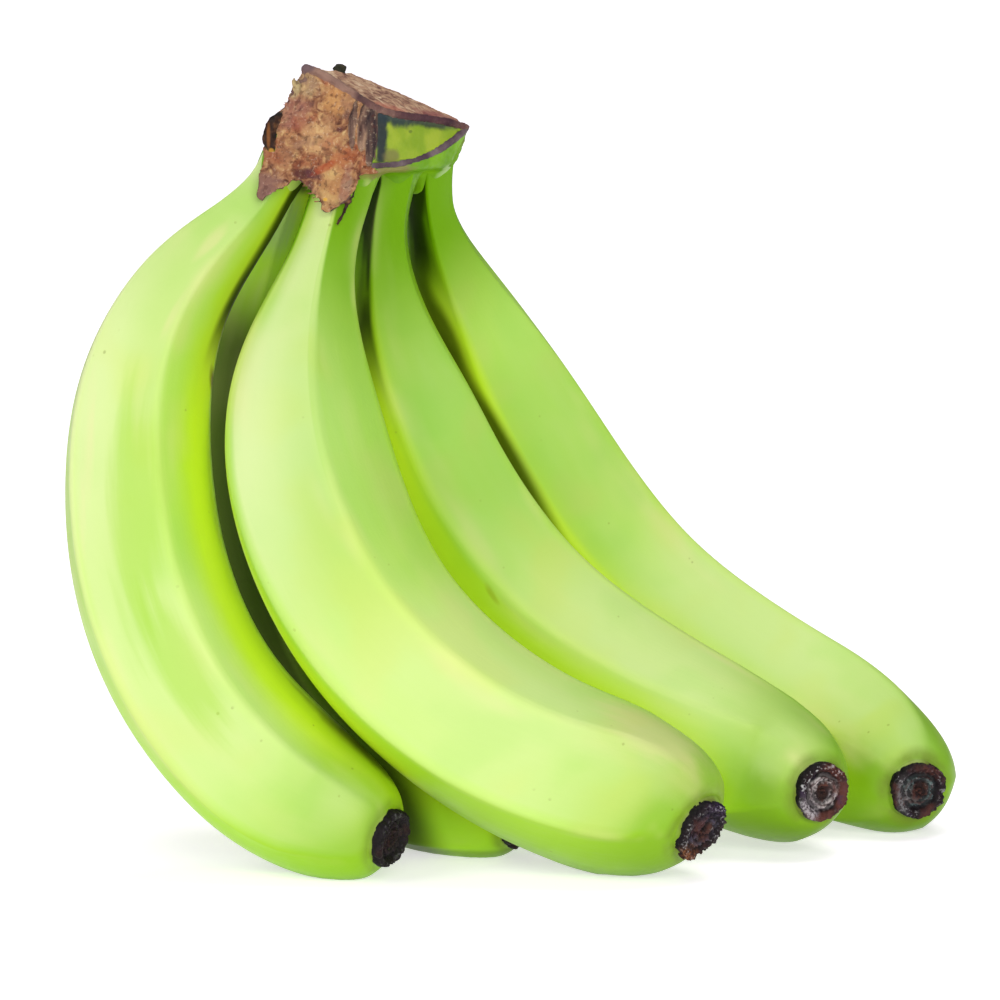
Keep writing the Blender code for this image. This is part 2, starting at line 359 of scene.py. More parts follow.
def light_reaching(points, normals, blockers):
    """For each point: the share of the open light that reaches it past the blockers, and how much of
    what lies close round it is open."""
    number = np.arange(BAKE_DIRECTIONS) + 0.5
    height = 1 - 2 * number / BAKE_DIRECTIONS
    turn = number * math.pi * (3 - math.sqrt(5))
    level = np.sqrt(1 - height**2)
    directions = np.stack([level * np.cos(turn), level * np.sin(turn), height], axis=1)
    strength = np.where(directions[:, 2] < 0, LIGHT_FROM_BELOW, LIGHT_FROM_ABOVE)
    for side, share in OPEN_SIDES:
        strength += share * np.maximum(0, directions @ np.array(side.normalized())) ** 3
    full = (np.maximum(0, directions @ np.array(OPEN_SIDES[0][0].normalized())) * strength).sum()
    rays = [Vector(direction) for direction in directions]
    reached = np.zeros(len(points))
    close_by = np.zeros(len(points))
    for index, (point, normal) in enumerate(zip(points, normals)):
        facing = directions @ normal
        origin = Vector(point + normal * RAY_START)
        outward = np.nonzero(facing > 0.02)[0]
        for which in outward:
            distance = blockers.ray_cast(origin, rays[which], RAY_REACH)[3]
            if distance is None:
                reached[index] += facing[which] * strength[which]
            else:
                reached[index] += facing[which] * NEIGHBOUR_LIGHT * min(1.0, distance / NEIGHBOUR_REACH)
            if distance is None or distance > CREVICE_REACH:
                close_by[index] += facing[which]
        close_by[index] /= facing[outward].sum()
    return reached / full, close_by


def spread_out(values):
    """Coarse values on a banana's grid, carried over to every ring and side."""
    closed = np.concatenate([values, values[:, :1]], axis=1)
    rings = np.arange(0, RINGS, BAKE_RING_STEP)
    numbers = np.arange(0, SIDES + 1, BAKE_SIDE_STEP)
    wide = np.array([np.interp(np.arange(SIDES), numbers, row) for row in closed])
    return np.array([np.interp(np.arange(RINGS), rings, column) for column in wide.T]).T


def save_attribute(mesh, name, values, kind="FLOAT"):
    attribute = mesh.attributes.new(name, kind, "POINT")
    key = "vector" if kind == "FLOAT_VECTOR" else "value"
    attribute.data.foreach_set(key, np.array(values, dtype=np.float32).ravel())


def unit_tube(sides, rings):
    """A closed tube of radius 1 from height 0 to height 1, cut into rings."""
    bm = bmesh.new()
    bmesh.ops.create_cone(
        bm, cap_ends=True, segments=sides, radius1=1, radius2=1, depth=1,
        matrix=Matrix.Translation((0, 0, 0.5)),
    )
    lengthwise = [edge for edge in bm.edges if abs(edge.verts[0].co.z - edge.verts[1].co.z) > 0.5]
    bmesh.ops.subdivide_edges(bm, edges=lengthwise, cuts=rings - 2)
    return bm


def finished_mesh(bm, name):
    """The shape as a smooth mesh, its faces outwards."""
    bmesh.ops.recalc_face_normals(bm, faces=bm.faces)
    mesh = mesh_from(bm, name)
    mesh.shade_smooth()
    return mesh


def make_peel(name, shape):
    bm = unit_tube(SIDES, RINGS)
    spots = []
    for vert in bm.verts:
        ring = round(vert.co.z * (RINGS - 1))
        number = round(math.atan2(vert.co.y, vert.co.x) / (2 * math.pi) * SIDES) % SIDES
        spots.append((ring, number))
        vert.co = Vector(shape["points"][ring, number])
    mesh = finished_mesh(bm, name + "_peel")
    save_attribute(mesh, "straight", [shape["straight"][spot] for spot in spots], "FLOAT_VECTOR")
    for attribute in ("along", "ridge", "sunlit", "open"):
        save_attribute(mesh, attribute, [shape[attribute][spot] for spot in spots])
    return add_to_scene(name + "_peel", mesh)


def arithmetic(tree, operation, first, second):
    return add_node(tree, "Math", {0: first, 1: second}, operation=operation).outputs[0]


def times(tree, first, *others):
    """The product of two or more values."""
    for other in others:
        first = arithmetic(tree, "MULTIPLY", first, other)
    return first


def centred(tree, value, amount):
    """A noise that goes from 0 to 1, made to swing about 0 by the amount."""
    return times(tree, arithmetic(tree, "SUBTRACT", value, 0.5), amount)


def cover(tree, colour, *layers):
    """Lay colours over a colour one after the other, each with how much of it shows."""
    for share, over in layers:
        colour = blend_colour(tree, share, colour, over)
    return colour


def stored(tree, name, output="Fac"):
    """What the mesh keeps at each point under this name."""
    return add_node(tree, "Attribute", attribute_name=name).outputs[output]


def finish_material(tree, shader, colour, roughness, relief, gloss):
    """Link the looks to the shader. The relief is a height, a strength and a depth in metres."""
    height, strength, depth = relief
    bump = add_node(tree, "Bump", {"Height": height, "Strength": strength, "Distance": depth})
    tree.links.new(colour, shader.inputs["Base Color"])
    tree.links.new(roughness, shader.inputs["Roughness"])
    tree.links.new(bump.outputs[0], shader.inputs["Normal"])
    shader.inputs["Specular IOR Level"].default_value = gloss


def ramp(tree, value, stops):
    """A colour that goes through the stops, each a place from 0 to 1 and a colour, as the value rises."""
    node = add_node(tree, "ValToRGB", {"Fac": value})
    elements = node.color_ramp.elements
    while len(elements) < len(stops):
        elements.new(0.5)
    for element, (place, colour) in zip(elements, stops):
        element.position = place
        element.color = linear(*colour)
    return node.outputs["Color"]


def spot(tree, place, centre, size, ragged, softness=0.3, turn=(0, 0, 0)):
    """1 inside an ellipsoid given in millimetres and 0 outside, its edge broken up by ragged noise."""
    local = add_node(
        tree, "Mapping",
        {
            "Vector": place, "Location": Vector(centre) * MM, "Scale": Vector(size) * MM,
            "Rotation": [math.radians(angle) for angle in turn],
        },
        vector_type="TEXTURE",
    ).outputs[0]
    distance = add_node(tree, "VectorMath", {0: local}, operation="LENGTH").outputs["Value"]
    edge = arithmetic(tree, "ADD", distance, arithmetic(tree, "SUBTRACT", ragged, 0.5))
    return step(tree, edge, 1 + softness, 1 - softness)


# Colours of the peel as the light that reaches it rises, which paints light and shade into the peel; in
# the patches on its lit faces; a painted glow of light bounced where other bananas are close; at the
# necks, partly the peel's own green and partly painted shade; painted shade deep between two of them;
# at the tip, partly its own green and partly painted shade; and a painted sheen on faces turned left.
PEEL_STOPS = (
    (0.00, (58, 104, 0)),
    (0.12, (136, 188, 14)),
    (0.22, (156, 207, 26)),
    (0.34, (162, 213, 42)),
    (0.50, (160, 207, 50)),
    (0.62, (164, 206, 82)),
    (0.73, (171, 208, 96)),
    (0.83, (175, 207, 110)),
    (0.96, (179, 206, 120)),
)
WARM_COLOUR = (180, 204, 100)
COOL_COLOUR = (152, 200, 86)
CREVICE_LIGHT_COLOUR = (202, 230, 44)
NECK_COLOUR = (98, 150, 0)
PAINTED_SHADE_COLOUR = (12, 30, 0)
TIP_COLOUR = (104, 154, 0)
PALE_COLOUR = (218, 228, 172)
PALE_SIDE = (-0.93, -0.33, 0.12)
INNER_SIDE = (0.3, -0.95, 0.0)
UPPER_SHADE = (0.74, 0.86, 0.74, 1)


def peel_material(name, finger, marks):
    """Waxy peel: painted light and shade, soft clouds, long fibres, blush along the ridges, a painted
    highlight on the ridge crests, tiny specks, a few scars and painted shadows.
    """
    material, tree, shader = start_material(name)
    seed = finger["seed"]
    straight = stored(tree, "straight", "Vector")
    along = stored(tree, "along")
    ridge = stored(tree, "ridge")
    sunlit = stored(tree, "sunlit")
    is_open = stored(tree, "open")
    place = add_node(tree, "TexCoord").outputs["Object"]

    def drawn_out(share):
        """The place on the straightened banana, along which patterns are drawn out."""
        inputs = {"Vector": straight, "Location": (seed, seed, seed), "Scale": (1, 1, share)}
        return add_node(tree, "Mapping", inputs).outputs[0]

    def clouds(vector, scale, detail=3.0):
        return add_node(tree, "TexNoise", {"Vector": vector, "Scale": scale, "Detail": detail}).outputs["Fac"]

    def facing(side):
        return add_node(tree, "VectorMath", {0: normal, 1: side}, operation="DOT_PRODUCT").outputs["Value"]

    own = drawn_out(1)
    half_drawn = drawn_out(0.28)
    normal = add_node(tree, "TexCoord").outputs["Normal"]
    broad = clouds(half_drawn, 60.0)
    blotches = clouds(own, 150.0)
    streaks = clouds(drawn_out(0.06), 420.0)
    # Painted light and shade: the colour follows the baked light, broken up by clouds and fibres.
    tone = arithmetic(tree, "ADD", sunlit, centred(tree, broad, 0.18))
    tone = arithmetic(tree, "ADD", tone, centred(tree, streaks, 0.05))
    colour = ramp(tree, tone, PEEL_STOPS)
    # The lit faces are mottled: broad yellower patches, and greener ones between them.
    mottled = clouds(own, 48.0, 1.5)
    lit = step(tree, sunlit, 0.35, 0.65)
    warm = times(tree, step(tree, mottled, 0.50, 0.70, 0.0, 0.7), lit)
    cool = times(tree, step(tree, mottled, 0.48, 0.30, 0.0, 0.4), lit)
    colour = cover(tree, colour, (warm, WARM_COLOUR), (cool, COOL_COLOUR))
    # Painted shade darker towards the neck; paler along the belly where lit, partly its own colour and partly
    # painted light; a painted sheen on faces turned left; greener at the tip, partly its own colour and
    # partly painted shade, as it is strongest where less light reaches.
    upper = times(tree, step(tree, along, 0.56, 0.40), step(tree, along, 0.16, 0.30, 0.0, finger["shaded"]))
    colour = blend_colour(tree, upper, colour, UPPER_SHADE, "MULTIPLY")
    belly = times(tree, step(tree, along, 0.50, 0.62), step(tree, along, 0.88, 0.76, 0.0, 0.22), lit)
    # Painted light bounced between the bananas: a brighter yellow-green where others are close.
    crevice_light = step(tree, is_open, 0.95, 0.30, 0.0, 0.9)
    # A painted sheen: paler on open, lit faces turned left.
    pale = times(
        tree, step(tree, facing(PALE_SIDE), 0.40, 0.96, 0.0, 0.75), step(tree, is_open, 0.8, 1.0),
        step(tree, sunlit, 0.60, 0.88),
    )
    near_end = times(
        tree, step(tree, along, 0.80, 0.985, 0.0, 0.8), step(tree, sunlit, 1.0, 0.68, 0.3, 1.0),
        finger["tip_green"],
    )
    # Painted shade: dark underneath, deep in the gaps and on the hidden side. Between the necks the deep
    # green is partly the peel's own and partly painted shade, strongest where less light reaches.
    down = add_node(tree, "SeparateXYZ", {0: normal}).outputs["Z"]
    under = times(tree, step(tree, down, -0.15, -0.80, 0.0, finger["under"]), step(tree, along, 0.55, 0.75))
    shaded_neck = step(tree, tone, 0.92, 0.76, 0.12, finger["neck_green"])
    neck = times(tree, step(tree, along, finger["neck_to"], 0.07), shaded_neck)
    by_neck = step(tree, along, finger["deep_to"], finger["deep_to"] * 0.6)
    deep = times(tree, by_neck, step(tree, is_open, 0.60, 0.47, 0.0, 0.93))
    deep = arithmetic(tree, "MAXIMUM", deep, step(tree, is_open, 0.22, 0.07, 0.0, 0.7))
    hidden = times(
        tree, step(tree, along, 0.13, 0.24, 0.0, finger["hidden"]), step(tree, facing(INNER_SIDE), 0.0, 0.8),
        step(tree, along, 0.88, 0.76),
    )
    # Blush: a faint pinkish tan, mostly where a ridge rubbed.
    blush = times(
        tree, step(tree, clouds(half_drawn, 75.0, 2.0), 0.50, 0.72),
        step(tree, ridge, 0.35, 0.95, 0.12, 0.5), step(tree, sunlit, 0.25, 0.6, 0.0, 0.6),
    )
    # A painted highlight: paler yellow-green along the ridge crests.
    crest_highlight = times(
        tree, step(tree, ridge, 0.75, 1.0), step(tree, along, 0.2, 0.5, 0.0, 0.2),
        step(tree, along, 0.88, 0.70),
    )
    # Tiny specks, in patches.
    cells = add_node(tree, "TexVoronoi", {"Vector": own, "Scale": 240.0, "Randomness": 1.0})
    rare = step(tree, clouds(own, 70.0), 0.58, 0.66)
    specks = times(tree, step(tree, cells.outputs["Distance"], 0.12, 0.05), rare, 0.45)
    colour = cover(
        tree, colour, (belly, PALE_COLOUR), (crevice_light, CREVICE_LIGHT_COLOUR), (pale, PALE_COLOUR),
        (near_end, TIP_COLOUR), (under, PAINTED_SHADE_COLOUR), (neck, NECK_COLOUR), (deep, PAINTED_SHADE_COLOUR),
        (hidden, PAINTED_SHADE_COLOUR), (blush, (226, 210, 158)), (crest_highlight, (196, 226, 96)),
        (specks, (110, 124, 40)),
    )
    for centre, size, turn, mark_colour, share in marks:
        # A shadow has an even, soft edge. A scar breaks up along the fibres.
        shadow = mark_colour == PAINTED_SHADE_COLOUR
        mark = spot(tree, place, centre, size, 0.5 if shadow else streaks, 0.6 if shadow else 0.45, turn)
        colour = blend_colour(tree, times(tree, mark, share), colour, mark_colour)
    tip = times(tree, step(tree, along, 0.978, 0.994), step(tree, blotches, 0.35, 0.6, 0.3, 0.9))
    colour = blend_colour(tree, tip, colour, (92, 90, 44))
    pores = clouds(own, 1500.0, 2.0)
    height = times(tree, streaks, 0.7)
    height = arithmetic(tree, "ADD", height, times(tree, pores, 0.2))
    height = arithmetic(tree, "ADD", height, times(tree, blotches, 0.6))
    roughness = step(tree, blotches, 0.2, 0.8, 0.36, 0.48)
    finish_material(tree, shader, colour, roughness, (height, 0.5, 0.22 * MM), 0.16)
    shader.inputs["Specular Tint"].default_value = (1.0, 1.0, 0.35, 1.0)
    shader.inputs["Coat Weight"].default_value = 0.04
    shader.inputs["Coat Roughness"].default_value = 0.28
    return material


RUST = (96, 56, 22)
BLUSH = (226, 200, 160)
OLIVE = (150, 160, 40)
GREENER = (152, 196, 66)
GREYED = (152, 176, 118)
# Single marks: place and half sizes in millimetres, turn in degrees, colour and strength. The darkest are
# painted shadows in the gaps.
MARKS = {
    "banana_left": (
        ((-69.0, -29, 110), (0.7, 6, 5.0), (0, -6, 0), RUST, 0.8),
        ((-69.8, -27, 144.0), (1.4, 8, 5.0), (0, 44, 0), BLUSH, 0.25),
        ((-78.5, -31, 127.0), (1.2, 8, 7.0), (0, 30, 0), BLUSH, 0.25),
        ((-97.0, -32, 92), (1.6, 12, 22.0), (0, 3, 0), BLUSH, 0.4),
        ((-85.5, -48, 84), (5.5, 16, 26.0), (0, -2, 0), GREENER, 0.60),
        ((-76.0, -48, 51), (5.5, 16, 17.0), (0, -28, 0), GREENER, 0.60),
    ),
    "banana_front": (
        ((30.0, -46, 34.0), (12.0, 14, 4.0), (0, 28, 0), BLUSH, 0.25),
    ),
    "banana_middle": (
        ((-6.0, -10, 62), (0.8, 14, 3.2), (0, -30, 0), OLIVE, 0.5),
    ),
    "banana_right": (
        # Painted shadows down the gap in front of this banana.
        ((-3.7, 20, 93.5), (2.2, 40, 27.0), (0, -30, 0), PAINTED_SHADE_COLOUR, 0.85),
        ((-16.8, 14, 119.5), (2.2, 30, 12.0), (0, -26, 0), PAINTED_SHADE_COLOUR, 0.8),
        ((-23.0, 8, 137.0), (2.2, 30, 13.0), (0, -8, 0), PAINTED_SHADE_COLOUR, 0.6),
    ),
    "banana_rear": (
        ((-54.5, 2, 147.5), (4.0, 12, 9.0), (0, 22, 0), GREYED, 0.65),
        # A painted shadow in the gap behind the front bananas, and a painted shadow where the underside nears
        # the table.
        ((-28.6, -14, 12.6), (6.6, 18, 18.0), (0, -26, 0), PAINTED_SHADE_COLOUR, 0.92),
        ((-8.0, -10, 1.2), (24.0, 30, 1.2), (0, 0, 0), PAINTED_SHADE_COLOUR, 0.4),
    ),
}

shapes = {name: shape_peel(finger) for name, finger in FINGERS.items()}
corners, faces = [], []
for shape in shapes.values():
    coarse = shape["coarse"] = shape["points"][::BAKE_RING_STEP, ::BAKE_SIDE_STEP]
    rings, sides = coarse.shape[:2]
    first = len(corners)
    corners += [tuple(corner) for corner in coarse.reshape(-1, 3)]
    for ring in range(rings - 1):
        for number in range(sides):
            after = (number + 1) % sides
            low = first + ring * sides
            faces.append((low + number, low + after, low + sides + after, low + sides + number))
blockers = BVHTree.FromPolygons(corners, faces)
for finger_name, shape in shapes.items():
    normals = grid_normals(shape["points"])[::BAKE_RING_STEP, ::BAKE_SIDE_STEP]
    baked = light_reaching(shape["coarse"].reshape(-1, 3), normals.reshape(-1, 3), blockers)
    for attribute, values in zip(("sunlit", "open"), baked):
        shape[attribute] = spread_out(values.reshape(normals.shape[:2]))
    peel = make_peel(finger_name, shape)
    peel.data.materials.append(peel_material(finger_name + "_peel", FINGERS[finger_name], MARKS[finger_name]))
    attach(peel, "root")
    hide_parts(finger_name)

# The blossom ends: where the dried flower broke off, each banana has a hard blackened disc with
# raised rings round a small boss. Each is a round grid, shaped ring by ring and roughened.
END_SIDES = 120
END_RINGS = 56
END_SHARE = 0.94
# From the middle of the disc to its edge and down its side: share of the disc's radius, and height
# over its end in millimetres.
END_PROFILE = (
    (0.0, -1.0), (0.08, -0.9), (0.15, -1.5), (0.22, -1.1), (0.29, -0.8), (0.36, -1.3), (0.43, -0.9),
    (0.50, -0.8), (0.56, -1.3), (0.62, -1.5), (0.69, -1.0), (0.77, -0.35), (0.85, -0.1), (0.93, -0.2),
    (1.0, -0.8), (1.02, -2.0), (0.98, -3.6), (0.86, -4.4),
)
# The face of the disc, as a share of the profile, keeps above the fruit's own end.
END_FACE = 0.82
END_FLOOR = -1.35
# Stains: place and half sizes in millimetres, and colour.
END_LOOKS = {
    "banana_left": {"ragged": 1.0, "dark": 0.82, "ring": (74, 64, 66), "stains": ()},
    "banana_front": {
        "ragged": 1.7, "dark": 0.35, "ring": (84, 80, 94),
        "stains": (
            ((37.6, -46, 6.6), (3.2, 6, 3.0), (164, 104, 62)),
            ((46.5, -48, 17.0), (4.0, 6, 3.2), (66, 48, 82)),
            ((41.0, -48, 16.5), (2.2, 6, 2.0), (24, 18, 26)),
        ),
    },
    "banana_middle": {
        "ragged": 1.0, "dark": 0.0, "ring": (182, 174, 170),
        "stains": (
            ((67.0, -20, 12.0), (2.4, 6, 3.4), (166, 158, 160)),
            ((74.0, -20, 21.0), (3.4, 6, 2.6), (92, 46, 34)),
        ),
    },
    "banana_right": {
        "ragged": 1.2, "dark": 0.35, "ring": (96, 118, 116),
        "stains": (
            ((91.0, 7, 11.0), (1.6, 6, 4.0), (150, 150, 150)),
            ((98.0, 7, 16.5), (3.6, 6, 2.4), (88, 44, 34)),
        ),
    },
    "banana_rear": {"ragged": 1.0, "dark": 0.8, "ring": (60, 54, 56), "stains": ()},
}


def make_end(name):
    finger = FINGERS[name]
    ragged = END_LOOKS[name]["ragged"]
    samples, along = smooth_route(finger["route"])
    centre, front, side = frames_along(samples, along, list(np.linspace(0, along[-1], 200)))[-1]
    outward = side.cross(front)
    if outward.dot(Vector(samples[-1]) - Vector(samples[-20])) < 0:
        outward = -outward
    radius = finger["stub"] / 2 * MM * END_SHARE
    stations = np.linspace(0, 1, len(END_PROFILE))
    bm = bmesh.new()
    bmesh.ops.create_circle(bm, cap_ends=True, cap_tris=True, segments=END_SIDES, radius=1)
    spokes = [edge for edge in bm.edges if min(vert.co.length for vert in edge.verts) < 1e-6]
    bmesh.ops.subdivide_edges(bm, edges=spokes, cuts=END_RINGS - 1)
    reaches, heights = [], []
    seed = Vector((finger["seed"], finger["seed"], 0))
    for vert in bm.verts:
        part = vert.co.length
        around = math.atan2(vert.co.y, vert.co.x)
        circle = Vector((math.cos(around), math.sin(around), 0))
        reach = float(np.interp(part, stations, [point[0] for point in END_PROFILE]))
        height = float(np.interp(part, stations, [point[1] for point in END_PROFILE]))
        reaches.append(reach)
        lobes = noise.noise(seed + circle * 1.1)
        wobble = noise.fractal(seed + circle * (reach * 2.2), 0.8, 2.0, 4)
        rough = noise.fractal(seed + circle * (reach * 8) + Vector((0, 0, height)), 0.6, 2.0, 4)
        outer = min(1, part * 2)
        reach *= 1 - 0.05 * ragged * outer + ragged * outer * (0.08 * lobes + 0.04 * wobble)
        reach += 0.02 * rough * ragged
        height = min(height + ragged * (0.55 * wobble + 0.45 * rough), 0.0)
        if part < END_FACE:
            height = max(height, END_FLOOR)
        heights.append(min(1.0, max(0.0, 1.0 + height / 1.6)))
        point = circle * (reach * radius)
        vert.co = centre + front * point.x + side * point.y + outward * (height * MM)
        vert.co.z = max(vert.co.z, 0.0)
    mesh = finished_mesh(bm, name + "_end")
    save_attribute(mesh, "reach", reaches)
    save_attribute(mesh, "raised", heights)
    return add_to_scene(name + "_end", mesh)


def end_material(name, looks):
    """Near-black dried tissue: brown and purple patches, a pale grey ring, flecks on the crests."""
    material, tree, shader = start_material(name)
    place = add_node(tree, "TexCoord").outputs["Object"]
    reach = stored(tree, "reach")
    raised = stored(tree, "raised")

    def clouds(scale, detail=4.0):
        return add_node(tree, "TexNoise", {"Vector": place, "Scale": scale, "Detail": detail}).outputs["Fac"]

    patches = clouds(300.0)
    wide = clouds(160.0, 2.0)
    fine = clouds(1300.0)
    ringed = arithmetic(tree, "ADD", reach, centred(tree, patches, 0.52))
    colour = ramp(tree, ringed, (
        (0.00, (40, 24, 20)),
        (0.14, (92, 56, 42)),
        (0.26, (64, 46, 42)),
        (0.38, looks["ring"]),
        (0.46, (74, 58, 56)),
        (0.56, looks["ring"]),
        (0.66, (22, 16, 20)),
        (0.82, (34, 20, 22)),
        (1.00, (14, 10, 12)),
    ))
    brown = times(tree, step(tree, wide, 0.5, 0.68), 0.7)
    purple = times(tree, step(tree, patches, 0.56, 0.7), 0.5)
    colour = cover(tree, colour, (brown, (98, 56, 46)), (purple, (64, 48, 72)))
    flecks = times(
        tree, step(tree, raised, 0.45, 0.85), step(tree, fine, 0.52, 0.66),
        step(tree, wide, 0.62, 0.40), 0.75,
    )
    flecked = step(tree, fine, 0.40, 0.58, 0.15, 0.9)
    for centre, size, stain in looks["stains"]:
        mark = times(tree, spot(tree, place, centre, size, fine, 0.5), flecked)
        colour = blend_colour(tree, mark, colour, stain)
    hollow = step(tree, raised, 0.60, 0.20, 0.0, 0.8)
    colour = cover(
        tree, colour, (flecks, (184, 184, 182)), (hollow, (12, 9, 10)), (looks["dark"], (22, 18, 20))
    )
    roughness = step(tree, fine, 0.3, 0.7, 0.5, 0.8)
    finish_material(tree, shader, colour, roughness, (fine, 0.7, 0.35 * MM), 0.15)
    return material


for finger_name in FINGERS:
    blossom_end = make_end(finger_name)
    blossom_end.data.materials.append(end_material(finger_name + "_end", END_LOOKS[finger_name]))
    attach(blossom_end, "root")
    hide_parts(finger_name)

# The crown: the block of stalk that the hand was cut from. A knife left a large rough face, now dry
# and brown, and a smaller fresh green one; the stalk's skin stands proud of them as a dark rim and
# hangs from the large face in leathery flaps. Below it the necks join in a green pad.
CROWN_CORNERS = (
    (-58, -17, 159), (-55, -24, 159), (-40, -27, 159), (-31, -23, 159), (-22, -13, 159), (-15.5, -3, 159),
    (-14.5, 6, 159), (-18, 10, 159), (-32, 11, 159), (-48, 10, 159), (-58, 4, 159),
    (-58, -23, 161), (-56, 4, 164), (-47, 13, 164), (-31, 15, 164), (-16, 13, 164),
    (-57, -16, 168), (-53, -16, 173), (-47.6, -15.5, 183), (-32, -24, 174), (-34, -26, 162),
    (-23, -12, 162), (-15, -2, 165), (-11, 3, 168), (-14, 7, 170), (-21, 9, 173), (-38, -3, 181),
)
# Outline of the rough face with its flaps, anticlockwise from its top as seen from the front.
CUT_OUTLINE = (
    (-47.7, -16.8, 183.6), (-48.7, -17.5, 182.6), (-48.2, -18.5, 180.0), (-50.7, -18.3, 179.4),
    (-50.9, -18.9, 177.6), (-52.5, -19.6, 174.6), (-53.6, -19.9, 173.3), (-55.2, -19.9, 172.4),
    (-57.0, -20.4, 169.9), (-57.0, -21.5, 164.5), (-56.1, -21.8, 163.6), (-55.6, -22.6, 162.0),
    (-57.7, -24.6, 158.3), (-59.2, -27.3, 154.5), (-58.3, -28.0, 153.2), (-56.0, -27.6, 155.2),
    (-52.4, -27.0, 156.8), (-50.8, -26.4, 158.3), (-48.5, -26.6, 157.7), (-46.4, -27.6, 155.3),
    (-44.8, -28.5, 154.0), (-44.3, -30.0, 151.4), (-43.0, -30.5, 150.8), (-40.2, -29.9, 152.5),
    (-38.2, -29.4, 154.1), (-37.6, -28.3, 156.3), (-38.3, -27.0, 158.4), (-36.5, -26.4, 160.9),
    (-34.0, -26.4, 162.2), (-32.4, -25.6, 162.7), (-31.7, -24.8, 169.2), (-32.2, -23.8, 173.9),
    (-34.0, -22.4, 176.1), (-37.2, -21.2, 177.7), (-42.0, -19.4, 180.3), (-45.0, -18.0, 182.3),
)
CUT_THICKNESS = 1.6 * MM
# Worn rolls of skin round the cut faces, ribs where the rough face turns away, and the curled flap at
# its left: label, route and radii in millimetres.
ROLLS = (
    ("rim", ((-48.0, -17.3, 183.1), (-45.4, -18.2, 182.2), (-42, -19.6, 180.2), (-38, -21, 178.2),
             (-34.4, -22.6, 175.6), (-32, -24.0, 174.3)), (0.75, 0.9, 0.85, 0.85, 0.8, 0.7)),
    ("rim", ((-32.4, -24.6, 174.4), (-28, -19.2, 172.6), (-24.6, -14.9, 171.8), (-17.8, -6.2, 170.7),
             (-11.4, 2.0, 168.3)), (0.8, 0.75, 0.7, 0.75, 0.7)),
    ("lip", ((-33.2, -25.0, 161.2), (-27.7, -18.7, 161.1), (-24.6, -14.8, 161.4), (-17.8, -6.2, 163.4),
             (-11.3, 2.2, 168.2)), (0.6, 0.85, 0.85, 0.75, 0.6)),
    ("rib", ((-36.9, -22.8, 175.6), (-37.5, -23.8, 171.4), (-37.7, -24.7, 166.9), (-37.2, -25.6, 162.0)),
     (0.4, 0.8, 0.75, 0.5)),
    ("rim", ((-47.2, -17.2, 183.0), (-48.2, -17.3, 183.2), (-49.1, -17.4, 182.3)), (0.7, 0.9, 0.7)),
    ("flake", ((-50.0, -18.6, 178.0), (-50.6, -18.8, 179.2), (-51.1, -18.9, 180.5)), (0.8, 0.75, 0.4)),
    ("curl", ((-36.9, -27.2, 157.2), (-37.4, -27.7, 155.6), (-38.4, -28.2, 152.8), (-39.7, -28.7, 150.2),
              (-41.0, -29.0, 147.9)), (0.5, 0.6, 0.55, 0.5, 0.4)),
    ("rib", ((-34.6, -23.4, 174.6), (-35.0, -24.4, 170.3), (-35.3, -25.3, 165.8), (-35.4, -26.1, 161.6)),
     (0.6, 1.1, 1.0, 0.6)),
    ("rib", ((-32.6, -24.0, 173.8), (-32.9, -25.0, 170.3), (-33.2, -25.9, 165.8), (-33.8, -26.5, 161.4)),
     (0.7, 1.2, 1.2, 0.8)),
    ("curl", ((-54.0, -20.2, 172.8), (-55.6, -20.6, 171.3), (-56.5, -21.2, 169.0), (-56.6, -21.8, 166.3),
              (-55.8, -22.3, 164.2), (-54.6, -22.4, 163.2)), (0.6, 1.2, 1.25, 1.4, 1.2, 0.6)),
    ("curl", ((-42.2, -7.0, 181.8), (-41.0, -7.2, 182.7), (-39.4, -7.0, 181.9)), (0.7, 1.1, 0.6)),
)
# Collars where the necks grow from the pad: how far down, how proud in millimetres, and their slant.
COLLARS = {
    "banana_left": (0.10, (0.6, 0.1, -0.6), 0.0),
    "banana_front": (0.22, (0.9, 0.2, -0.8), 0.0),
    "banana_middle": (0.24, (0.8, 0.2, -0.9), 0.0),
    "banana_right": (0.14, (0.9, 0.3, -0.7), 0.45),
    "banana_rear": (0.20, (0.8, 0.2, -0.8), 0.0),
}
LIP_LINE = ((-33.0, 161.2), (-24.6, 161.4), (-17.8, 163.4), (-11.0, 168.2))
VOXEL = 0.42 * MM
CROWN_TOP = 184.1 * MM
# On its back the stalk's own skin goes from green to brown between these heights.
BROWN_FROM = 163 * MM
BROWN_FULL = 171 * MM
CROWN_ZONES = ("cut", "green", "skin", "pad", "rim", "lip", "rib", "curl", "back")
ZONE_OF_LABEL = {"flake": "cut"}
# Heights of the lumps and of the grain on each zone, in millimetres.
CROWN_LUMPS = (0.45, 0.05, 0.25, 0.10, 0.22, 0.14, 0.20, 0.30, 0.30)
CROWN_GRAIN = (0.45, 0.03, 0.18, 0.02, 0.18, 0.05, 0.25, 0.28, 0.16)
GRAIN_SEED = 7
PAD_SMOOTHINGS = 26
EVENINGS = 10


def tube_along(points, radii, sides=18, slant=0.0):
    """A closed round tube through the points, given in millimetres, with radii spaced evenly along it."""
    samples, along = smooth_route(points)
    count = max(6, int(along[-1] / (0.6 * MM)))
    frames = frames_along(samples, along, list(np.linspace(0, along[-1], count)))
    bm = unit_tube(sides, count)
    for vert in bm.verts:
        part = vert.co.z
        centre, front, side = frames[round(part * (count - 1))]
        around = math.atan2(vert.co.y, vert.co.x)
        radius = float(np.interp(part, np.linspace(0, 1, len(radii)), radii)) * MM
        vert.co = centre + (front * math.cos(around) + side * math.sin(around)) * radius
        vert.co.z += slant * (vert.co.x - centre.x) * part
    bmesh.ops.recalc_face_normals(bm, faces=bm.faces)
    return bm


def take(bm, label, sources):
    """Keep a closed shape for the crown, with the label that its surface passes on."""
    sources.append((mesh_from(bm, "crown_source"), label))


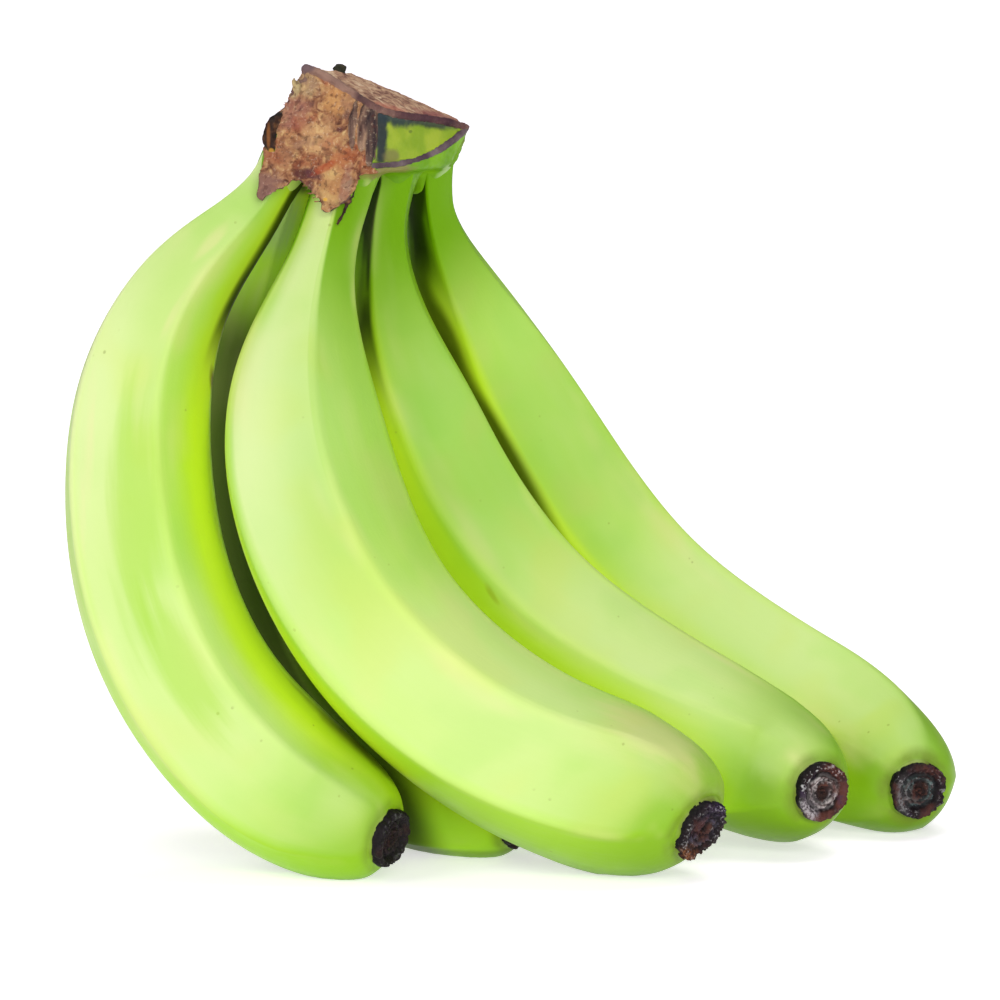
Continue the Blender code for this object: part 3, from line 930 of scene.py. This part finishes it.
def crown_sources():
    sources = []
    bm = bmesh.new()
    for corner in CROWN_CORNERS:
        bm.verts.new(Vector(corner) * MM)
    hull = bmesh.ops.convex_hull(bm, input=bm.verts)
    inside = set(hull["geom_interior"] + hull["geom_unused"])
    bmesh.ops.delete(bm, geom=[vert for vert in bm.verts if vert in inside], context="VERTS")
    bmesh.ops.recalc_face_normals(bm, faces=bm.faces)
    take(bm, "block", sources)

    bm = bmesh.new()
    face = bm.faces.new([bm.verts.new(Vector(corner) * MM) for corner in CUT_OUTLINE])
    bmesh.ops.triangulate(bm, faces=[face], ngon_method="EAR_CLIP")
    extruded = bmesh.ops.extrude_face_region(bm, geom=list(bm.faces))
    moved = [item for item in extruded["geom"] if isinstance(item, bmesh.types.BMVert)]
    bmesh.ops.translate(bm, verts=moved, vec=(0, CUT_THICKNESS, 0))
    bmesh.ops.recalc_face_normals(bm, faces=bm.faces)
    take(bm, "slab", sources)

    for label, points, radii in ROLLS:
        take(tube_along(points, radii), label, sources)
    for name, (down, proud, slant) in COLLARS.items():
        first, second, third = (Vector(point) for point in FINGERS[name]["route"][:3])
        neck = FINGERS[name]["neck"] / 2
        radii = [neck + more for more in proud]
        take(tube_along((first, second, second.lerp(third, down)), radii, 40, slant), "pad", sources)
    return sources


def face_zone(label, normal):
    if label == "slab":
        return "cut" if normal.y < -0.5 else "rim"
    if label != "block":
        return ZONE_OF_LABEL.get(label, label)
    if normal.z > 0.5:
        return "skin"
    if normal.z < -0.5:
        return "pad"
    if normal.y < -0.3 and normal.x > 0.4:
        return "green"
    return "cut" if normal.y < -0.5 else "back"


def neighbour_mean(values, pairs):
    """For each point of a mesh, the mean of a value over the points that its edges lead to."""
    ends = np.concatenate([pairs[:, 0], pairs[:, 1]])
    others = np.concatenate([pairs[:, 1], pairs[:, 0]])
    count = np.maximum(1, np.bincount(ends, minlength=len(values)))
    sums = [np.bincount(ends, column[others], len(values)) for column in values.T]
    return np.stack(sums, axis=1) / count[:, None]


def drop_crumbs(mesh):
    """Keep only what hangs together with the highest point."""
    bm = bmesh.new()
    bm.from_mesh(mesh)
    newest = {max(bm.verts, key=lambda vert: vert.co.z)}
    kept = set(newest)
    while newest:
        newest = {edge.other_vert(vert) for vert in newest for edge in vert.link_edges} - kept
        kept |= newest
    bmesh.ops.delete(bm, geom=[vert for vert in bm.verts if vert not in kept], context="VERTS")
    bm.to_mesh(mesh)
    bm.free()


def make_crown():
    joined = bmesh.new()
    corners, faces, labels = [], [], []
    for mesh, label in crown_sources():
        joined.from_mesh(mesh)
        start = len(corners)
        corners += [vert.co.copy() for vert in mesh.vertices]
        for polygon in mesh.polygons:
            if label == "slab" and polygon.normal.y > 0.5:
                continue
            faces.append([start + index for index in polygon.vertices])
            labels.append(face_zone(label, polygon.normal))
        bpy.data.meshes.remove(mesh)
    rough = mesh_from(joined, "crown_rough")
    carrier = add_to_scene("crown_rough", rough)
    melt = carrier.modifiers.new("melt", "REMESH")
    melt.mode = "VOXEL"
    melt.voxel_size = VOXEL
    soften = carrier.modifiers.new("soften", "SMOOTH")
    soften.factor = 0.5
    soften.iterations = 2
    bpy.context.view_layer.update()
    evaluated = carrier.evaluated_get(bpy.context.evaluated_depsgraph_get())
    mesh = bpy.data.meshes.new_from_object(evaluated)
    mesh.name = "crown_block"
    bpy.data.objects.remove(carrier, do_unlink=True)
    bpy.data.meshes.remove(rough)
    drop_crumbs(mesh)

    tree = BVHTree.FromPolygons(corners, faces)
    weights = np.zeros((len(mesh.vertices), len(CROWN_ZONES)))
    lip_x, lip_z = np.array(LIP_LINE).T * MM
    for vert in mesh.vertices:
        zone = labels[tree.find_nearest(vert.co)[2]]
        if zone == "green" and vert.co.z < np.interp(vert.co.x, lip_x, lip_z):
            zone = "pad"
        weights[vert.index, CROWN_ZONES.index(zone)] = 1
    pairs = np.array([edge.vertices[:] for edge in mesh.edges])
    for _ in range(3):
        weights = (weights + neighbour_mean(weights, pairs)) / 2

    # Small steps are evened out without shrinking the rolls, then the necks melt into the pad.
    places = np.array([vert.co[:] for vert in mesh.vertices])
    for _ in range(EVENINGS):
        for share in (0.60, -0.62):
            places += share * (neighbour_mean(places, pairs) - places)
    melting = weights[:, [CROWN_ZONES.index("pad"), CROWN_ZONES.index("back")]].sum(axis=1, keepdims=True)
    for _ in range(PAD_SMOOTHINGS):
        places += 0.8 * melting * (neighbour_mean(places, pairs) - places)
    mesh.vertices.foreach_set("co", places.ravel())
    mesh.update()
    normals = np.empty(len(mesh.vertices) * 3, np.float32)
    mesh.vertices.foreach_get("normal", normals)
    normals = normals.reshape(-1, 3)
    lump_heights = weights @ np.array(CROWN_LUMPS)
    grain_heights = weights @ np.array(CROWN_GRAIN)
    hollows = []
    for vert in mesh.vertices:
        place = vert.co / MM
        lump = noise.fractal(place * 0.16, 0.9, 2.0, 3)
        swirl = noise.noise_vector(place * 0.10) * 4.0
        grain = noise.fractal(Vector((place.x * 0.75, place.y * 0.5, place.z * 0.42)) + swirl, 0.7, 2.1, 4)
        hollows.append(grain)
        push = lump * lump_heights[vert.index] + grain * grain_heights[vert.index]
        vert.co += Vector(normals[vert.index]) * (push * MM)
        vert.co.z = min(vert.co.z, CROWN_TOP)
    mesh.shade_smooth()
    for index, zone in enumerate(CROWN_ZONES):
        save_attribute(mesh, "zone_" + zone, weights[:, index])
    save_attribute(mesh, "hollow", hollows)
    return add_to_scene("crown_block", mesh)


# Stains and patches laid over each zone, with painted shadows and a painted highlight among them: place
# and half sizes in millimetres, colour, strength and, where it lies aslant, its turn in degrees.
STAINS_AND_PAINTED_LIGHT = {
    "cut": (
        ((-48.2, -19, 179.6), (2.6, 4, 3.4), (176, 156, 114), 0.45),
        ((-51.5, -20, 173.0), (4.6, 5, 4.0), (138, 92, 80), 0.6),
        ((-40.6, -21, 175.4), (3.4, 4, 3.2), (190, 140, 82), 0.5),
        ((-45.0, -22, 167.0), (4.2, 5, 3.8), (192, 154, 106), 0.45),
        ((-39.5, -24, 163.2), (5.0, 5, 2.2), (158, 84, 48), 0.5, (0, -32, 0)),
        ((-53.8, -23, 163.0), (2.6, 5, 3.0), (150, 104, 74), 0.5),
        ((-57.4, -27, 155.8), (3.6, 6, 4.2), (122, 90, 80), 0.75, (0, 30, 0)),
        ((-41.5, -28, 156.6), (3.8, 5, 4.4), (190, 158, 100), 0.65),
        ((-39.0, -28, 156.8), (1.3, 5, 4.2), (128, 98, 88), 0.7, (0, 10, 0)),
        ((-48.9, -26, 159.3), (2.3, 5, 1.3), (72, 34, 34), 0.85),
        ((-46.2, -26, 159.2), (2.2, 5, 1.2), (78, 44, 48), 0.8, (0, 20, 0)),
        ((-47.3, -27, 157.4), (0.9, 5, 0.7), (86, 48, 44), 0.7),
        ((-44.0, -25, 160.6), (3.0, 5, 0.9), (150, 66, 36), 0.7, (0, -30, 0)),
        ((-40.4, -22, 169.2), (0.8, 4, 0.7), (84, 46, 44), 0.75),
        ((-37.4, -23, 167.6), (0.6, 4, 0.6), (84, 40, 40), 0.75),
        ((-43.6, -29, 153.8), (0.5, 4, 0.4), (206, 160, 44), 0.6),
        ((-51.0, -19, 178.6), (1.6, 4, 2.4), (160, 150, 106), 0.6),
    ),
    "curl": (
        ((-56.0, -21.5, 164.4), (0.6, 4, 0.6), (190, 140, 52), 0.7),
        ((-40.7, -7, 182.6), (3.0, 4, 1.4), (40, 44, 32), 0.85),
        ((-56.6, -21, 167.4), (0.5, 3, 3.0), (150, 92, 44), 0.5),
    ),
    "green": (
        # The first three are painted shadows: a blue-black band where the green face sinks under the rough
        # face's edge and under the rim.
        ((-31.2, -22.6, 168), (1.9, 2.4, 7.5), (34, 42, 48), 0.97),
        ((-27.5, -18.2, 172.3), (7.5, 2.5, 2.6), (34, 50, 54), 0.95, (0, 10, 51)),
        ((-20.0, -8.8, 170.2), (9.5, 2.5, 1.5), (40, 50, 42), 0.92, (0, 8, 51)),
        ((-29.3, -20, 162.9), (2.6, 2.5, 1.9), (108, 102, 62), 0.75),
        ((-24.5, -14, 168.3), (0.45, 2, 0.4), (90, 112, 36), 0.8),
    ),
    "pad": (
        ((-29.5, -20.0, 159.6), (8.0, 5.0, 1.7), (126, 114, 66), 0.85, (0, -3, 51)),
        # A painted highlight: gloss on the pad.
        ((-15.6, -3, 158.6), (3.4, 5, 1.1), (196, 216, 164), 0.5, (0, -35, 0)),
        ((-51.2, -24, 155.8), (4.6, 9, 3.6), (186, 214, 100), 0.8),
        ((-34.0, -25, 156.6), (1.2, 3, 1.6), (176, 190, 110), 0.55),
        ((-31.5, -14, 156.3), (0.8, 3, 0.7), (40, 44, 16), 0.7),
    ),
    "rib": (
        ((-33.0, -25.5, 167.5), (1.3, 4, 9.0), (40, 32, 36), 0.75),
    ),
    "rim": (
        ((-22.0, -12.0, 171.6), (12.0, 3, 1.6), (70, 40, 50), 0.55, (0, 8, 51)),
        ((-41.5, -19, 180.0), (9.0, 5, 6.0), (140, 112, 96), 0.5),
        ((-48.0, -17, 183.6), (1.6, 4, 1.6), (88, 74, 80), 0.7),
    ),
    "skin": (
        ((-17.0, -3, 170.6), (9.0, 7, 2.0), (132, 72, 72), 0.7, (0, 8, 51)),
        ((-29.0, -18, 174.0), (6.0, 6, 1.2), (168, 92, 76), 0.55, (0, 8, 51)),
    ),
}


def crown_material():
    """Each zone's own colour, then the stains, patches, painted shadows and a painted highlight, then dark
    pits where the surface is hollow.
    """
    material, tree, shader = start_material("cut_stalk")
    place = add_node(tree, "TexCoord").outputs["Object"]

    def clouds(scale, detail=4.0, distortion=0.0):
        inputs = {"Vector": place, "Scale": scale, "Detail": detail, "Distortion": distortion}
        return add_node(tree, "TexNoise", inputs).outputs["Fac"]

    ragged = clouds(420.0)
    broad = clouds(130.0)
    swirl = clouds(360.0, 6.0, 1.2)
    tint = clouds(170.0, 3.0)
    fine = clouds(1000.0)
    hollow = stored(tree, "hollow")
    ribbed = add_node(tree, "Mapping", {"Vector": place, "Scale": (1, 1, 0.15)}).outputs[0]
    ribbed = add_node(tree, "TexNoise", {"Vector": ribbed, "Scale": 700.0, "Detail": 4.0}).outputs["Fac"]
    colours = {
        "cut": ramp(tree, swirl, (
            (0.30, (66, 38, 28)), (0.40, (110, 70, 48)), (0.49, (140, 97, 66)),
            (0.60, (163, 124, 82)), (0.76, (194, 166, 114)),
        )),
        "skin": ramp(tree, swirl, (
            (0.34, (106, 72, 62)), (0.46, (152, 116, 94)), (0.56, (174, 140, 112)),
            (0.70, (200, 174, 146)),
        )),
        "green": blend_colour(tree, step(tree, broad, 0.35, 0.65), (122, 152, 32), (148, 168, 46)),
        "pad": blend_colour(tree, step(tree, broad, 0.3, 0.7), (92, 142, 0), (116, 166, 6)),
        "rim": ramp(tree, broad, ((0.36, (58, 38, 42)), (0.52, (94, 66, 62)), (0.64, (126, 96, 84)))),
        "lip": ramp(tree, broad, ((0.36, (58, 42, 50)), (0.50, (84, 68, 74)), (0.64, (112, 98, 98)))),
        "rib": ramp(tree, ribbed, ((0.34, (54, 38, 36)), (0.5, (102, 78, 66)), (0.66, (144, 116, 92)))),
        "curl": ramp(tree, ragged, ((0.36, (26, 20, 16)), (0.55, (58, 38, 28)), (0.72, (118, 82, 50)))),
        "back": blend_colour(tree, step(tree, ragged, 0.4, 0.6), (84, 66, 50), (134, 104, 78)),
    }
    above = add_node(tree, "SeparateXYZ", {0: place}).outputs["Z"]
    above = arithmetic(tree, "ADD", above, centred(tree, broad, 0.012))
    browned = step(tree, above, BROWN_FROM, BROWN_FULL)
    colours["back"] = blend_colour(tree, browned, colours["pad"], colours["back"])
    masks = {}
    colour = colours["back"]
    for zone in ("pad", "green", "skin", "cut", "rib", "rim", "lip", "curl"):
        share = stored(tree, "zone_" + zone)
        edge = arithmetic(tree, "ADD", share, centred(tree, ragged, 0.6))
        masks[zone] = step(tree, edge, 0.38, 0.58)
        own = colours[zone]
        for centre, size, stain, strength, *turn in STAINS_AND_PAINTED_LIGHT.get(zone, ()):
            mark = spot(tree, place, centre, size, ragged, 0.35, *turn)
            own = blend_colour(tree, times(tree, mark, strength), own, stain)
        colour = blend_colour(tree, masks[zone], colour, own)
    rough_zone = arithmetic(tree, "MAXIMUM", masks["cut"], masks["rib"])
    pits = step(tree, arithmetic(tree, "ADD", fine, times(tree, hollow, 0.30)), 0.42, 0.28)
    pits = times(tree, pits, rough_zone, 0.50)
    reddish = times(tree, step(tree, tint, 0.50, 0.66), masks["cut"], 0.45)
    mauve = times(tree, step(tree, tint, 0.46, 0.32), masks["cut"], 0.40)
    bright = times(tree, step(tree, clouds(1500.0, 2.0), 0.58, 0.70), rough_zone, 0.18)
    colour = cover(
        tree, colour, (reddish, (142, 74, 48)), (mauve, (124, 92, 82)), (pits, (70, 36, 30)),
        (bright, (222, 200, 168)),
    )
    dull = step(tree, fine, 0.3, 0.7, 0.65, 0.92)
    smooth = arithmetic(tree, "MAXIMUM", masks["pad"], masks["green"])
    dull = arithmetic(tree, "SUBTRACT", dull, times(tree, smooth, 0.30))
    height = times(tree, arithmetic(tree, "ADD", fine, swirl), arithmetic(tree, "SUBTRACT", 1.1, smooth))
    finish_material(tree, shader, colour, dull, (height, 0.7, 0.4 * MM), 0.18)
    return material


# The swirl of the grain is the same at each run only with a seed of its own.
noise.seed_set(GRAIN_SEED)
crown = make_crown()
crown.data.materials.append(crown_material())
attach(crown, "root")
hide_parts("crown")
